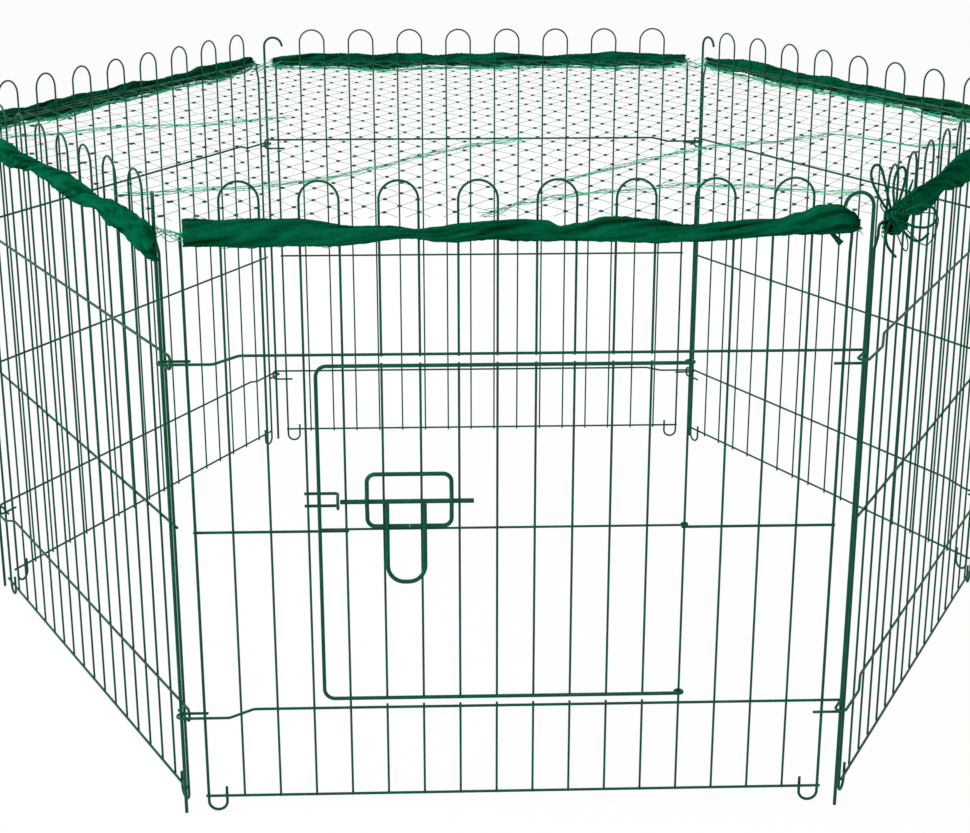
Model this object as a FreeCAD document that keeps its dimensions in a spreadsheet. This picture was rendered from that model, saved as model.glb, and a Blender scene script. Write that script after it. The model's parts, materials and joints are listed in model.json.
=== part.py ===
"""Hexagonal wire pet run: six hinged wire panels, corner rods, a latched door and a net cover.

The run stands on the floor with its origin at the middle of its footprint, +Z up and the door to -Y.
Each panel is drawn in its own frame: x runs from its left post to its right post as seen from
outside, y points into the run, z is up. The rails lie on y = 0, the line between two corner pivots.
"""
import FreeCAD, Part
import math
import os
from FreeCAD import Placement, Rotation, Vector
import Sketcher

doc = FreeCAD.newDocument("PetRun")
sheet = doc.addObject("Spreadsheet::Sheet", "Sizes")

# Driving dimensions in millimetres
SIZES = [
    ("bar_pitch", 31.7, "spacing of the upright bars"),
    ("bar_wire", 2.0, "upright bar diameter"),
    ("frame_wire", 2.5, "panel frame wire diameter"),
    ("rail_wire", 2.4, "cross rail diameter"),
    ("weld_depth", 0.1, "depth that two welded wires sink into each other"),
    ("left_inset", 13.0, "left post to its corner pivot"),
    ("right_inset", 18.1, "right post to its corner pivot"),
    ("foot_width", 16.0, "width of the turned-up foot of a post"),
    ("foot_rise", 7.5, "bottom rail to the turned-up end of a foot"),
    ("bottom_rail_height", 16.0, "floor to bottom rail"),
    ("low_rail_height", 100.0, "floor to lower hooked rail"),
    ("mid_rail_height", 263.0, "floor to middle rail"),
    ("high_rail_height", 419.0, "floor to upper hooked rail"),
    ("top_wire_height", 521.0, "floor to the top wire of the panel frame"),
    ("hairpin_rise", 42.0, "top wire to the top of the hairpins"),
    ("bar_tail", 2.2, "bar end below the bottom rail"),
    ("rail_tail", 2.0, "rail end past a post"),
    ("frame_corner", 5.0, "bend radius of the frame's top corners"),
    ("shift_drop", 9.0, "top wire down to the end of the post's sideways shift"),
    ("shift_length", 11.0, "height of the post's sideways shift"),
    ("shift_bend", 12.0, "bend radius of the sideways shift"),
    ("hook_gap", 11.5, "height of the upright hook at a rail's right end"),
    ("hook_bend", 4.0, "bend radius of the upright hook"),
    ("hook_tail", 8.0, "return leg of the upright hook past the post"),
    ("loop_reach", 11.5, "flat loop past the corner pivot"),
    ("loop_tail", 3.0, "return leg of the flat loop past the post"),
    ("jog_near", 22.0, "left post to the end of the rail's jog"),
    ("jog_length", 21.0, "length of the rail's jog"),
    ("jog_bend", 12.0, "bend radius of the jog"),
    ("rod_wire", 3.0, "corner rod diameter"),
    ("rod_play", 0.7, "corner rod to the inside of its flat loop"),
    ("rod_rise", 32.0, "top wire to the top of a corner rod"),
    ("rod_hook_radius", 11.4, "bend radius of a rod's hooked top"),
    ("door_wire", 3.2, "door frame wire diameter"),
    ("door_gap", 9.4, "hooked rail to the door's top or bottom wire"),
    ("door_overlap", 22.2, "door frame past the left jamb"),
    ("door_corner", 9.0, "bend radius of the door's corners"),
    ("eye_play", 0.35, "play of a door eye on the hinge bar"),
    ("eye_lift", 3.4, "middle rail to the door's middle wire"),
    ("bolt_wire", 4.0, "bolt diameter"),
    ("pull_wire", 3.6, "bolt pull and guide wire diameter"),
    ("keeper_wire", 2.6, "keeper wire diameter"),
    ("slide_play", 0.35, "play of the bolt on the door and in its guide"),
    ("bolt_rise", 25.0, "door's middle wire to the bolt"),
    ("bolt_length", 111.8, "length of the bolt"),
    ("bolt_gap", 0.5, "keeper's nose to the end of the drawn bolt"),
    ("keeper_rise", 11.0, "height between the keeper's two legs"),
    ("keeper_setback", 6.5, "left jamb to the keeper's nose"),
    ("keeper_tail", 3.0, "keeper leg past the bar left of the jamb"),
    ("keeper_play", 0.6, "play of the bolt behind the keeper's nose"),
    ("keeper_bend", 3.0, "bend radius of the keeper"),
    ("guide_width", 70.6, "width of the bolt guide"),
    ("guide_rise", 24.0, "bolt to the top of its guide"),
    ("guide_start", 17.8, "left jamb to the guide's left side"),
    ("guide_corner", 7.0, "bend radius of the guide's corners"),
    ("guide_flat", 2.0, "half height of the guide's bulge round the bolt"),
    ("guide_ramp", 7.0, "height of each ramp of the bulge"),
    ("guide_bend", 4.0, "bend radius of the bulge"),
    ("guide_seam", 0.2, "gap between the guide wire's two ends"),
    ("pull_width", 31.4, "width of the bolt pull"),
    ("pull_bend", 14.0, "bend radius of the bolt pull"),
    ("pull_drop", 71.0, "length of the bolt pull"),
    ("pull_start", 16.7, "guide's left side to the pull's left leg"),
    ("pull_play", 0.3, "gap from the pull to the bolt and to the guide"),
    ("net_thread", 2.0, "width of the net's thread"),
    ("net_thickness", 1.2, "thickness of the net"),
    ("net_lift", 5.0, "top wire to the net"),
    ("net_play", 0.4, "net edge to the hairpins"),
    ("net_cell_width", 54.0, "width of a diamond of the net"),
    ("net_cell_length", 126.0, "length of a diamond of the net"),
    ("hem_height", 22.0, "full height of a hem sleeve"),
    ("hem_depth", 6.0, "full depth of a hem sleeve"),
    ("hem_play", 0.3, "hem sleeve to the top wire"),
    ("hem_left_end", 3.0, "left post to the hem's left end"),
    ("hem_right_end", 8.0, "hem's right end past the right post"),
    ("tie_cord", 2.2, "tie cord diameter"),
    ("tie_knot", 11.0, "tie knot diameter"),
    ("least_run", 0.001, "shortest straight run drawn between two bends"),
]
for row, (alias, value, note) in enumerate(SIZES, start=1):
    sheet.set("A%d" % row, note)
    sheet.set("B%d" % row, str(value))
    sheet.setAlias("B%d" % row, alias)
doc.recompute()


def size(alias):
    """Value of one driving dimension."""
    return float(sheet.get(alias))


# Inside angle of the left and the right corner; the other four take up the rest alike
SIDE_CORNER_ANGLE = 124

# Gaps between two posts and, counted from the left post, the jamb, the hinge bar and the bars of the door
BAR_GAPS = 17
JAMB_BAR = 4
HINGE_BAR = 13
DOOR_BARS = HINGE_BAR - JAMB_BAR - 1
HAIRPINS = 8
SIDE_HAIRPIN_STEPS = (1, 6, 7)
LINTEL_HAIRPINS = 4

# Sizes that follow from the driving dimensions
pitch = size("bar_pitch")
span = pitch * BAR_GAPS
side = span + size("left_inset") + size("right_inset")
bar_radius = size("bar_wire") / 2
frame_radius = size("frame_wire") / 2
rail_radius = size("rail_wire") / 2
rod_radius = size("rod_wire") / 2
door_radius = size("door_wire") / 2
bolt_radius = size("bolt_wire") / 2
pull_radius = size("pull_wire") / 2
keeper_radius = size("keeper_wire") / 2
weld = size("weld_depth")
bar_y = rail_radius + bar_radius - weld
post_y = rail_radius + frame_radius - weld
top_y = bar_y - bar_radius - frame_radius + weld
mid_y = bar_y + bar_radius + rail_radius - weld
loop_half = post_y + frame_radius + rail_radius - weld
loop_drop = size("hook_gap") / 2
rod_offset = size("loop_reach") - size("rail_wire") - size("rod_play") - rod_radius
jamb_x = JAMB_BAR * pitch
hinge_x = HINGE_BAR * pitch
top_z = size("top_wire_height")

# The same places as sheet formulas, for pieces whose sizes are bound to the sheet
SPAN = "Sizes.bar_pitch * %d" % BAR_GAPS
BAR_Y = "(Sizes.rail_wire / 2 + Sizes.bar_wire / 2 - Sizes.weld_depth)"
BAR_END = "(Sizes.bottom_rail_height - Sizes.bar_tail)"
LINTEL_END = "(Sizes.high_rail_height - Sizes.bar_tail)"
BEND_HEIGHT = "Sizes.top_wire_height + Sizes.hairpin_rise - Sizes.bar_wire / 2 - Sizes.bar_pitch / 2"

PANELS = ["front", "front_right", "back_right", "back", "back_left", "front_left"]
HOOK_TURNS = {"front": -20}
nodes = []

# Headings of the panels round the ring, and the corner where each panel starts
slant = SIDE_CORNER_ANGLE / 2
HEADINGS = [0, slant, 180 - slant, 180, 180 + slant, 360 - slant]
corners = [Vector(-side / 2, -side * math.sin(math.radians(slant)), 0)]
for heading in HEADINGS[:-1]:
    corners.append(corners[-1] + Rotation(Vector(0, 0, 1), heading).multVec(Vector(side, 0, 0)))


def heading_turn(index):
    """Rotation of a panel, counted round the run from the front."""
    return Rotation(Vector(0, 0, 1), HEADINGS[index])


def panel_placement(index):
    """Placement of a panel's own frame."""
    turn = heading_turn(index)
    return Placement(corners[index] + turn.multVec(Vector(size("left_inset"), 0, 0)), turn)


def keep(piece, placement):
    """Put a finished piece in its place and list it for writing."""
    piece.Placement = placement.multiply(piece.Placement)
    nodes.append(piece)
    return piece


def feature(label, shape, placement):
    """A piece whose shape is a bent wire or a lofted form."""
    piece = doc.addObject("Part::Feature", label)
    piece.Shape = shape
    return keep(piece, placement)


def bent_path(points, bends):
    """Straight runs through the points, joined by tangent arcs of the given radii."""
    edges = []
    start = points[0]
    for before, corner, after, radius in zip(points, points[1:], points[2:], bends):
        back = (before - corner).normalize()
        ahead = (after - corner).normalize()
        half = back.getAngle(ahead) / 2
        first = corner + back * (radius / math.tan(half))
        last = corner + ahead * (radius / math.tan(half))
        middle = corner + (back + ahead).normalize() * (radius / math.sin(half) - radius)
        if (first - start).Length > size("least_run"):
            edges.append(Part.LineSegment(start, first).toShape())
        edges.append(Part.Arc(first, middle, last).toShape())
        start = last
    if (points[-1] - start).Length > size("least_run"):
        edges.append(Part.LineSegment(start, points[-1]).toShape())
    return Part.Wire(edges)


def wire_along(points, bends, radius):
    """Round wire bent along a path."""
    path = bent_path(points, bends)
    first = path.OrderedEdges[0]
    place = first.valueAt(first.FirstParameter)
    ring = Part.makeCircle(radius, place, first.tangentAt(first.FirstParameter))
    return path.makePipeShell([Part.Wire(ring)], True, False)


def origin_plane(body, role):
    """One of a body's own origin planes."""
    return [item for item in body.Origin.OriginFeatures if item.Role == role][0]


def sketch_on(body, name, role, offsets):
    """Sketch on one of a body's origin planes, moved by sheet formulas."""
    sketch = body.newObject("Sketcher::SketchObject", name)
    sketch.AttachmentSupport = [(origin_plane(body, role), "")]
    sketch.MapMode = "FlatFace"
    for axis, formula in offsets.items():
        sketch.setExpression("AttachmentOffset.Base." + axis, formula)
    return sketch


def round_section(body, name, radius_formula, offsets):
    """Circle on the body's XY plane, the section of a wire that starts upward."""
    sketch = sketch_on(body, name, "XY_Plane", offsets)
    sketch.addGeometry(Part.Circle(Vector(0, 0, 0), Vector(0, 0, 1), bar_radius))
    sketch.addConstraint(Sketcher.Constraint("Coincident", 0, 3, -1, 1))
    radius = sketch.addConstraint(Sketcher.Constraint("Radius", 0, bar_radius))
    sketch.setExpression("Constraints[%d]" % radius, radius_formula)
    return sketch


def hairpin_row(label, first_bar, end_formula, end_height, steps, placement):
    """Hairpin bars: one swept wire, copied along the panel by whole hairpin steps."""
    body = doc.addObject("PartDesign::Body", label)
    body.AllowCompound = True
    x_low = first_bar * pitch
    bend_z = top_z + size("hairpin_rise") - bar_radius - pitch / 2
    path = sketch_on(body, label + "_path", "XZ_Plane", {"z": "-" + BAR_Y})
    path.addGeometry(Part.LineSegment(Vector(x_low, end_height, 0), Vector(x_low, bend_z, 0)))
    bend = Part.Circle(Vector(x_low + pitch / 2, bend_z, 0), Vector(0, 0, 1), pitch / 2)
    path.addGeometry(Part.ArcOfCircle(bend, 0, math.pi))
    path.addGeometry(Part.LineSegment(Vector(x_low + pitch, bend_z, 0), Vector(x_low + pitch, end_height, 0)))
    path.addConstraint(Sketcher.Constraint("Vertical", 0))
    path.addConstraint(Sketcher.Constraint("Vertical", 2))
    path.addConstraint(Sketcher.Constraint("Tangent", 0, 2, 1, 2))
    path.addConstraint(Sketcher.Constraint("Tangent", 2, 1, 1, 1))
    path.addConstraint(Sketcher.Constraint("Horizontal", 0, 1, 2, 2))
    bound = [
        (("DistanceX", -1, 1, 0, 1, x_low), "Sizes.bar_pitch * %d" % first_bar),
        (("DistanceY", -1, 1, 0, 1, end_height), end_formula),
        (("DistanceX", 0, 1, 2, 2, pitch), "Sizes.bar_pitch"),
        (("DistanceY", -1, 1, 1, 3, bend_z), BEND_HEIGHT),
    ]
    for values, formula in bound:
        number = path.addConstraint(Sketcher.Constraint(*values))
        path.setExpression("Constraints[%d]" % number, formula)
    corner = {"x": "Sizes.bar_pitch * %d" % first_bar, "y": BAR_Y, "z": end_formula}
    section = round_section(body, label + "_section", "Sizes.bar_wire / 2", corner)
    doc.recompute()
    pipe = body.newObject("PartDesign::AdditivePipe", label + "_wire")
    pipe.Profile = section
    pipe.Spine = (path, ["Edge1", "Edge2", "Edge3"])
    doc.recompute()
    for step in steps:
        row = body.newObject("PartDesign::LinearPattern", "%s_row_%d" % (label, step[0]))
        row.Originals = [pipe]
        row.Direction = (path, ["H_Axis"])
        row.setExpression("Length", "2 * Sizes.bar_pitch * %d" % step[0])
        row.Occurrences = step[1]
        body.Tip = row
    return keep(body, placement)


def bar_row(label, first_bar, count, y_formula, low_formula, high_formula, placement):
    """Row of plain upright bars: one padded circle, copied from bar to bar."""
    body = doc.addObject("PartDesign::Body", label)
    body.AllowCompound = True
    corner = {"x": "Sizes.bar_pitch * %d" % first_bar, "y": y_formula, "z": low_formula}
    section = round_section(body, label + "_section", "Sizes.bar_wire / 2", corner)
    pad = body.newObject("PartDesign::Pad", label + "_bar")
    pad.Profile = section
    pad.setExpression("Length", "%s - %s" % (high_formula, low_formula))
    doc.recompute()
    row = body.newObject("PartDesign::LinearPattern", label + "_row")
    row.Originals = [pad]
    row.Direction = (section, ["H_Axis"])
    row.setExpression("Length", "Sizes.bar_pitch * %d" % (count - 1))
    row.Occurrences = count
    body.Tip = row
    return keep(body, placement)


def straight_wire(label, diameter, length_formula, start, placement):
    """Straight wire along x, its diameter and length bound to the sheet."""
    wire = doc.addObject("Part::Cylinder", label)
    wire.setExpression("Radius", "Sizes.%s / 2" % diameter)
    wire.setExpression("Height", length_formula)
    wire.Placement = placement.multiply(Placement(start, Rotation(Vector(0, 1, 0), 90)))
    return wire


# Panel wires
def panel_frame(label, placement):
    """Posts and top wire in one bent wire, with a turned-up foot under each post."""
    width = size("foot_width")
    stub_z = size("bottom_rail_height") + size("foot_rise")
    high_z = top_z - size("shift_drop")
    low_z = high_z - size("shift_length")
    left = [
        Vector(width, post_y, stub_z),
        Vector(width, post_y, frame_radius),
        Vector(0, post_y, frame_radius),
        Vector(0, post_y, low_z),
        Vector(0, top_y, high_z),
        Vector(0, top_y, top_z),
    ]
    right = [Vector(span - point.x, point.y, point.z) for point in reversed(left)]
    bends = [width / 2, width / 2, size("shift_bend"), size("shift_bend"), size("frame_corner")]
    return feature(label, wire_along(left + right, bends + bends[::-1], frame_radius), placement)


def hooked_rail(height):
    """Cross rail with an upright hook at its right end and a jogged flat loop at its left end."""
    pivot_x = span + size("right_inset")
    low_z = height - size("hook_gap")
    loop_z = height - loop_drop
    tip_x = rail_radius - size("left_inset") - size("loop_reach")
    points = [
        Vector(span - size("hook_tail"), 0, low_z),
        Vector(pivot_x, 0, low_z),
        Vector(pivot_x, 0, height),
        Vector(size("jog_near") + size("jog_length"), 0, height),
        Vector(size("jog_near"), -loop_half, loop_z),
        Vector(tip_x, -loop_half, loop_z),
        Vector(tip_x, loop_half, loop_z),
        Vector(size("loop_tail"), loop_half, loop_z),
    ]
    hook, jog = size("hook_bend"), size("jog_bend")
    return wire_along(points, [hook, hook, jog, jog, loop_half, loop_half], rail_radius)


def mid_rail(label, placement):
    """Middle rail on the inner side of the bars, post to post."""
    start = Vector(-size("rail_tail"), mid_y, size("mid_rail_height"))
    rail = straight_wire(label, "rail_wire", SPAN + " + 2 * Sizes.rail_tail", start, placement)
    nodes.append(rail)


def split_mid_rail(label, placement):
    """Middle rail of the door panel, left out across the doorway."""
    height = size("mid_rail_height")
    left_length = "Sizes.bar_pitch * %d + 2 * Sizes.rail_tail" % JAMB_BAR
    right_length = SPAN + " - Sizes.bar_pitch * %d + 2 * Sizes.rail_tail" % HINGE_BAR
    left_start = Vector(-size("rail_tail"), mid_y, height)
    right_start = Vector(hinge_x - size("rail_tail"), mid_y, height)
    left = straight_wire(label + "_left", "rail_wire", left_length, left_start, placement)
    right = straight_wire(label + "_right", "rail_wire", right_length, right_start, placement)
    pair = doc.addObject("Part::Compound", label)
    pair.Links = [left, right]
    nodes.append(pair)


def corner_rod(label, hook_heading, placement):
    """Rod dropped through the two flat loops of a corner, with a hooked top over the next panel."""
    hook = size("rod_hook_radius")
    rod_top = top_z + size("rod_rise") - rod_radius
    points = [
        Vector(0, 0, 0),
        Vector(0, 0, rod_top),
        Vector(2 * hook, 0, rod_top),
        Vector(2 * hook, 0, rod_top - hook),
    ]
    rod = wire_along(points, [hook, hook], rod_radius)
    place = Vector(-size("left_inset") - rod_offset, 0, 0)
    turn = Rotation(Vector(0, 0, 1), hook_heading)
    return feature(label, rod, placement.multiply(Placement(place, turn)))


for index, panel in enumerate(PANELS):
    here = panel_placement(index)
    panel_frame(panel + "_frame", here)
    bar_end = size("bottom_rail_height") - size("bar_tail")
    if panel == "front":
        steps = [(step, 2) for step in SIDE_HAIRPIN_STEPS]
        lintel_end = size("high_rail_height") - size("bar_tail")
        hairpin_row("front_hairpins", 1, BAR_END, bar_end, steps, here)
        lintel_steps = [(LINTEL_HAIRPINS - 1, LINTEL_HAIRPINS)]
        hairpin_row("front_lintel_hairpins", JAMB_BAR + 1, LINTEL_END, lintel_end, lintel_steps, here)
        sill_top = "(Sizes.low_rail_height + Sizes.bar_tail)"
        bar_row("front_sill_bars", JAMB_BAR + 1, DOOR_BARS, BAR_Y, BAR_END, sill_top, here)
        split_mid_rail("front_mid_rail", here)
    else:
        hairpin_row(panel + "_hairpins", 1, BAR_END, bar_end, [(HAIRPINS - 1, HAIRPINS)], here)
        mid_rail(panel + "_mid_rail", here)
    hooked = [hooked_rail(size("high_rail_height")), hooked_rail(size("low_rail_height"))]
    feature(panel + "_hooked_rails", Part.makeCompound(hooked), here)
    low_start = Vector(-size("rail_tail"), 0, size("bottom_rail_height"))
    low_length = SPAN + " + 2 * Sizes.rail_tail"
    low_rail = straight_wire(panel + "_bottom_rail", "rail_wire", low_length, low_start, here)
    nodes.append(low_rail)
    inside_angle = (180 - HEADINGS[index] + HEADINGS[index - 1]) % 360
    corner_rod(panel + "_corner_rod", inside_angle + HOOK_TURNS.get(panel, 0), here)

front = panel_placement(0)

# Door: a bent frame and a middle wire that curl as eyes round the hinge bar, and its bars
eye_radius = bar_radius + size("eye_play") + door_radius
mid_eye_radius = bar_radius + size("eye_play") + bar_radius
door_y = bar_y - eye_radius
door_bar_y = door_y + door_radius + bar_radius - weld
door_left = jamb_x - size("door_overlap")
door_high = size("high_rail_height") - size("door_gap")
door_low = size("low_rail_height") + size("door_gap")
door_mid = size("mid_rail_height") + size("eye_lift")


def hinge_eye(radius, height):
    """Corner points of an eye round the hinge bar, from its free end to the door's face."""
    return [
        Vector(hinge_x - radius, bar_y, height),
        Vector(hinge_x - radius, bar_y + radius, height),
        Vector(hinge_x + radius, bar_y + radius, height),
        Vector(hinge_x + radius, bar_y - radius, height),
    ]


outline = hinge_eye(eye_radius, door_high)
outline += [Vector(door_left, door_y, door_high), Vector(door_left, door_y, door_low)]
outline += reversed(hinge_eye(eye_radius, door_low))
frame_bends = [eye_radius] * 3 + [size("door_corner")] * 2 + [eye_radius] * 3
feature("door_frame", wire_along(outline, frame_bends, door_radius), front)
cross = hinge_eye(mid_eye_radius, door_mid)
cross.append(Vector(door_left + door_radius - weld, bar_y - mid_eye_radius, door_mid))
feature("door_mid_wire", wire_along(cross, [mid_eye_radius] * 3, bar_radius), front)
DOOR_BAR_Y = BAR_Y + " - Sizes.eye_play - Sizes.weld_depth"
DOOR_LOW = "(Sizes.low_rail_height + Sizes.door_gap - Sizes.door_wire / 2)"
DOOR_HIGH = "(Sizes.high_rail_height - Sizes.door_gap + Sizes.door_wire / 2)"
bar_row("door_bars", JAMB_BAR + 1, DOOR_BARS, DOOR_BAR_Y, DOOR_LOW, DOOR_HIGH, front)

# Latch: a sliding bolt with a hanging pull, its guide on the door and its keeper on the panel
bolt_y = door_bar_y - bar_radius - size("slide_play") - bolt_radius
bolt_z = door_mid + size("bolt_rise")
keeper_x = jamb_x - size("keeper_setback")
bolt_x = keeper_x + keeper_radius + size("bolt_gap")
bolt = straight_wire("latch_bolt", "bolt_wire", "Sizes.bolt_length", Vector(bolt_x, bolt_y, bolt_z), front)
nodes.append(bolt)

keeper_y = bar_y + bar_radius + keeper_radius - weld
nose_y = bolt_y - bolt_radius - size("keeper_play") - keeper_radius
keeper_end = jamb_x - pitch - size("keeper_tail")
keeper_high = bolt_z + size("keeper_rise") / 2
keeper_low = bolt_z - size("keeper_rise") / 2
keeper_points = [
    Vector(keeper_end, keeper_y, keeper_high),
    Vector(keeper_x, keeper_y, keeper_high),
    Vector(keeper_x, nose_y, keeper_high),
    Vector(keeper_x, nose_y, keeper_low),
    Vector(keeper_x, keeper_y, keeper_low),
    Vector(keeper_end, keeper_y, keeper_low),
]
feature("latch_keeper", wire_along(keeper_points, [size("keeper_bend")] * 4, keeper_radius), front)

guide_y = door_bar_y - bar_radius - pull_radius + weld
bulge_y = bolt_y - bolt_radius - size("slide_play") - pull_radius
guide_left = jamb_x + size("guide_start")
guide_right = guide_left + size("guide_width")
guide_low = door_mid + bar_radius + pull_radius - weld
guide_high = bolt_z + size("guide_rise")
seam_x = (guide_left + guide_right) / 2


def guide_side(x):
    """Points up one side of the guide, bulging out round the bolt."""
    reach = size("guide_flat") + size("guide_ramp")
    return [
        Vector(x, guide_y, guide_low),
        Vector(x, guide_y, bolt_z - reach),
        Vector(x, bulge_y, bolt_z - size("guide_flat")),
        Vector(x, bulge_y, bolt_z + size("guide_flat")),
        Vector(x, guide_y, bolt_z + reach),
        Vector(x, guide_y, guide_high),
    ]


guide_points = [Vector(seam_x + size("guide_seam") / 2, guide_y, guide_low)]
guide_points += guide_side(guide_right)
guide_points += reversed(guide_side(guide_left))
guide_points.append(Vector(seam_x - size("guide_seam") / 2, guide_y, guide_low))
side_bends = [size("guide_corner")] + [size("guide_bend")] * 4 + [size("guide_corner")]
feature("latch_guide", wire_along(guide_points, side_bends * 2, pull_radius), front)

# The pull leans out from the bolt until it rests on the guide's lower wire
seat = 2 * pull_radius + size("pull_play")
seat_y = guide_y - bolt_y
seat_z = bolt_z - guide_low
lean = math.asin(seat / math.hypot(seat_y, seat_z)) - math.atan2(seat_y, seat_z)
pull_left = guide_left + size("pull_start")
pull_right = pull_left + size("pull_width")
pull_top = bolt_radius + size("pull_play")
pull_points = [
    Vector(pull_left, 0, -pull_top),
    Vector(pull_left, 0, pull_radius - size("pull_drop")),
    Vector(pull_right, 0, pull_radius - size("pull_drop")),
    Vector(pull_right, 0, -pull_top),
]
pull = wire_along(pull_points, [size("pull_bend")] * 2, pull_radius)
swing = Placement(Vector(0, bolt_y, bolt_z), Rotation(Vector(1, 0, 0), -math.degrees(lean)))
feature("latch_pull", pull, front.multiply(swing))


# Net cover: one flat sheet with diamond openings, inside the hairpins
def inward(index):
    """Unit vector from a panel into the run."""
    return heading_turn(index).multVec(Vector(0, 1, 0))


def ring_outline(inset, height):
    """Corner points of the ring drawn in by an inset."""
    points = []
    for index, corner in enumerate(corners):
        halfway = (inward(index - 1) + inward(index)).normalize()
        points.append(corner + halfway * (inset / halfway.dot(inward(index))) + Vector(0, 0, height))
    return points


def clipped(polygon, inset):
    """The part of a convex polygon that lies inside the drawn-in ring."""
    for index, corner in enumerate(corners):
        result = []
        for here, after in zip(polygon, polygon[1:] + polygon[:1]):
            low = inward(index).dot(here - corner) - inset
            high = inward(index).dot(after - corner) - inset
            if low >= 0:
                result.append(here)
            if low * high < 0:
                result.append(here + (after - here) * (low / (low - high)))
        polygon = result
    return polygon


def net_sheet():
    """Six-sided net with rows of diamond openings, cut off along a border thread."""
    thread = size("net_thread")
    height = top_z + size("net_lift")
    outer = bar_y + bar_radius + size("net_play")
    inner = outer + thread
    wide = size("net_cell_width") / 2
    long = size("net_cell_length") / 2
    trim_x = thread / 2 * math.hypot(wide, long) / long
    trim_y = thread / 2 * math.hypot(wide, long) / wide
    border = ring_outline(outer, height)
    columns = math.ceil(max(point.x for point in border) / wide)
    rows = math.ceil(max(point.y for point in border) / long)
    wires = [Part.makePolygon(border + border[:1])]
    for row in range(-rows, rows + 1):
        for column in range(-columns, columns + 1):
            if (row + column) % 2:
                continue
            centre = Vector(column * wide, row * long, height)
            diamond = [
                centre + Vector(wide - trim_x, 0, 0),
                centre + Vector(0, long - trim_y, 0),
                centre - Vector(wide - trim_x, 0, 0),
                centre - Vector(0, long - trim_y, 0),
            ]
            opening = clipped(diamond, inner)
            if len(opening) < 3:
                continue
            wire = Part.makePolygon(opening + opening[:1])
            if Part.Face(wire).Area > thread * wide:
                wires.append(wire)
    print("net openings", len(wires) - 1)
    face = Part.makeFace(wires, "Part::FaceMakerBullseye")
    return face.extrude(Vector(0, 0, size("net_thickness")))


feature("net_cover", net_sheet(), Placement())

# Hem sleeves: gathered cloth along the outside of each top wire.
# Each station is a share of the length, height and depth, and a sag as a share of the height.
FRONT_HEM_SHARES = [
    (0.00, 0.90, 0.55, 0.00), (0.04, 0.97, 0.66, 0.00), (0.10, 1.00, 0.75, -0.02), (0.18, 0.95, 0.62, 0.02),
    (0.26, 0.70, 0.74, -0.03), (0.33, 0.50, 0.70, -0.02), (0.41, 0.46, 0.62, 0.02), (0.48, 0.62, 0.86, 0.04),
    (0.52, 0.70, 0.95, 0.04), (0.57, 0.50, 0.70, -0.02), (0.72, 0.52, 0.72, 0.02), (0.86, 0.64, 0.66, -0.02),
    (0.93, 0.92, 0.90, 0.00), (0.97, 0.80, 0.82, 0.03), (1.00, 0.42, 0.45, 0.05),
]
OTHER_HEM_SHARES = [
    (0.00, 0.40, 0.40, 0.03), (0.04, 0.66, 0.64, 0.00), (0.10, 0.86, 0.84, -0.03), (0.22, 1.00, 0.68, 0.03),
    (0.37, 0.72, 0.88, -0.04), (0.50, 0.94, 0.64, 0.02), (0.64, 0.68, 0.84, -0.02), (0.80, 0.98, 0.72, 0.03),
    (0.91, 0.84, 0.88, -0.02), (0.97, 0.60, 0.62, 0.01), (1.00, 0.38, 0.40, 0.03),
]
TIED_HEM_SHARES = [
    (0.00, 0.44, 0.42, 0.34), (0.04, 0.70, 0.66, 0.22), (0.10, 0.92, 0.88, 0.10), (0.20, 0.84, 0.72, 0.04),
    (0.33, 0.62, 0.84, -0.03), (0.46, 0.74, 0.66, 0.02), (0.60, 0.60, 0.86, -0.02), (0.75, 0.88, 0.74, 0.03),
    (0.90, 0.78, 0.86, -0.02), (0.97, 0.58, 0.60, 0.01), (1.00, 0.38, 0.40, 0.03),
]
HEM_SHARES = {"front": FRONT_HEM_SHARES, "front_right": TIED_HEM_SHARES}
CROWN_SHARE = 0.72
hem_face = top_y - frame_radius - size("hem_play")


def hem_section(x, high, deep, lift):
    """Rounded section of a hem sleeve, four arcs round its middle."""
    middle = Vector(x, hem_face - deep / 2, top_z + lift)
    inner, crest = Vector(0, deep / 2, 0), Vector(0, 0, high / 2)
    quarters = [inner, crest, -inner, -crest]
    arcs = []
    for first, last in zip(quarters, quarters[1:] + quarters[:1]):
        crown = middle + (first + last) * CROWN_SHARE
        arcs.append(Part.Arc(middle + first, crown, middle + last).toShape())
    return Part.Wire(arcs)


def hem_sleeve(shares):
    """Sleeve lofted through its gathered sections."""
    start = size("hem_left_end")
    length = span + size("hem_right_end") - start
    high, deep = size("hem_height"), size("hem_depth")
    sections = []
    for along, high_share, deep_share, sag_share in shares:
        x = start + along * length
        sections.append(hem_section(x, high * high_share, deep * deep_share, high * sag_share))
    return Part.makeLoft(sections, True, False)


for index, panel in enumerate(PANELS):
    shares = HEM_SHARES.get(panel, OTHER_HEM_SHARES)
    feature(panel + "_hem", hem_sleeve(shares), panel_placement(index))

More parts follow.
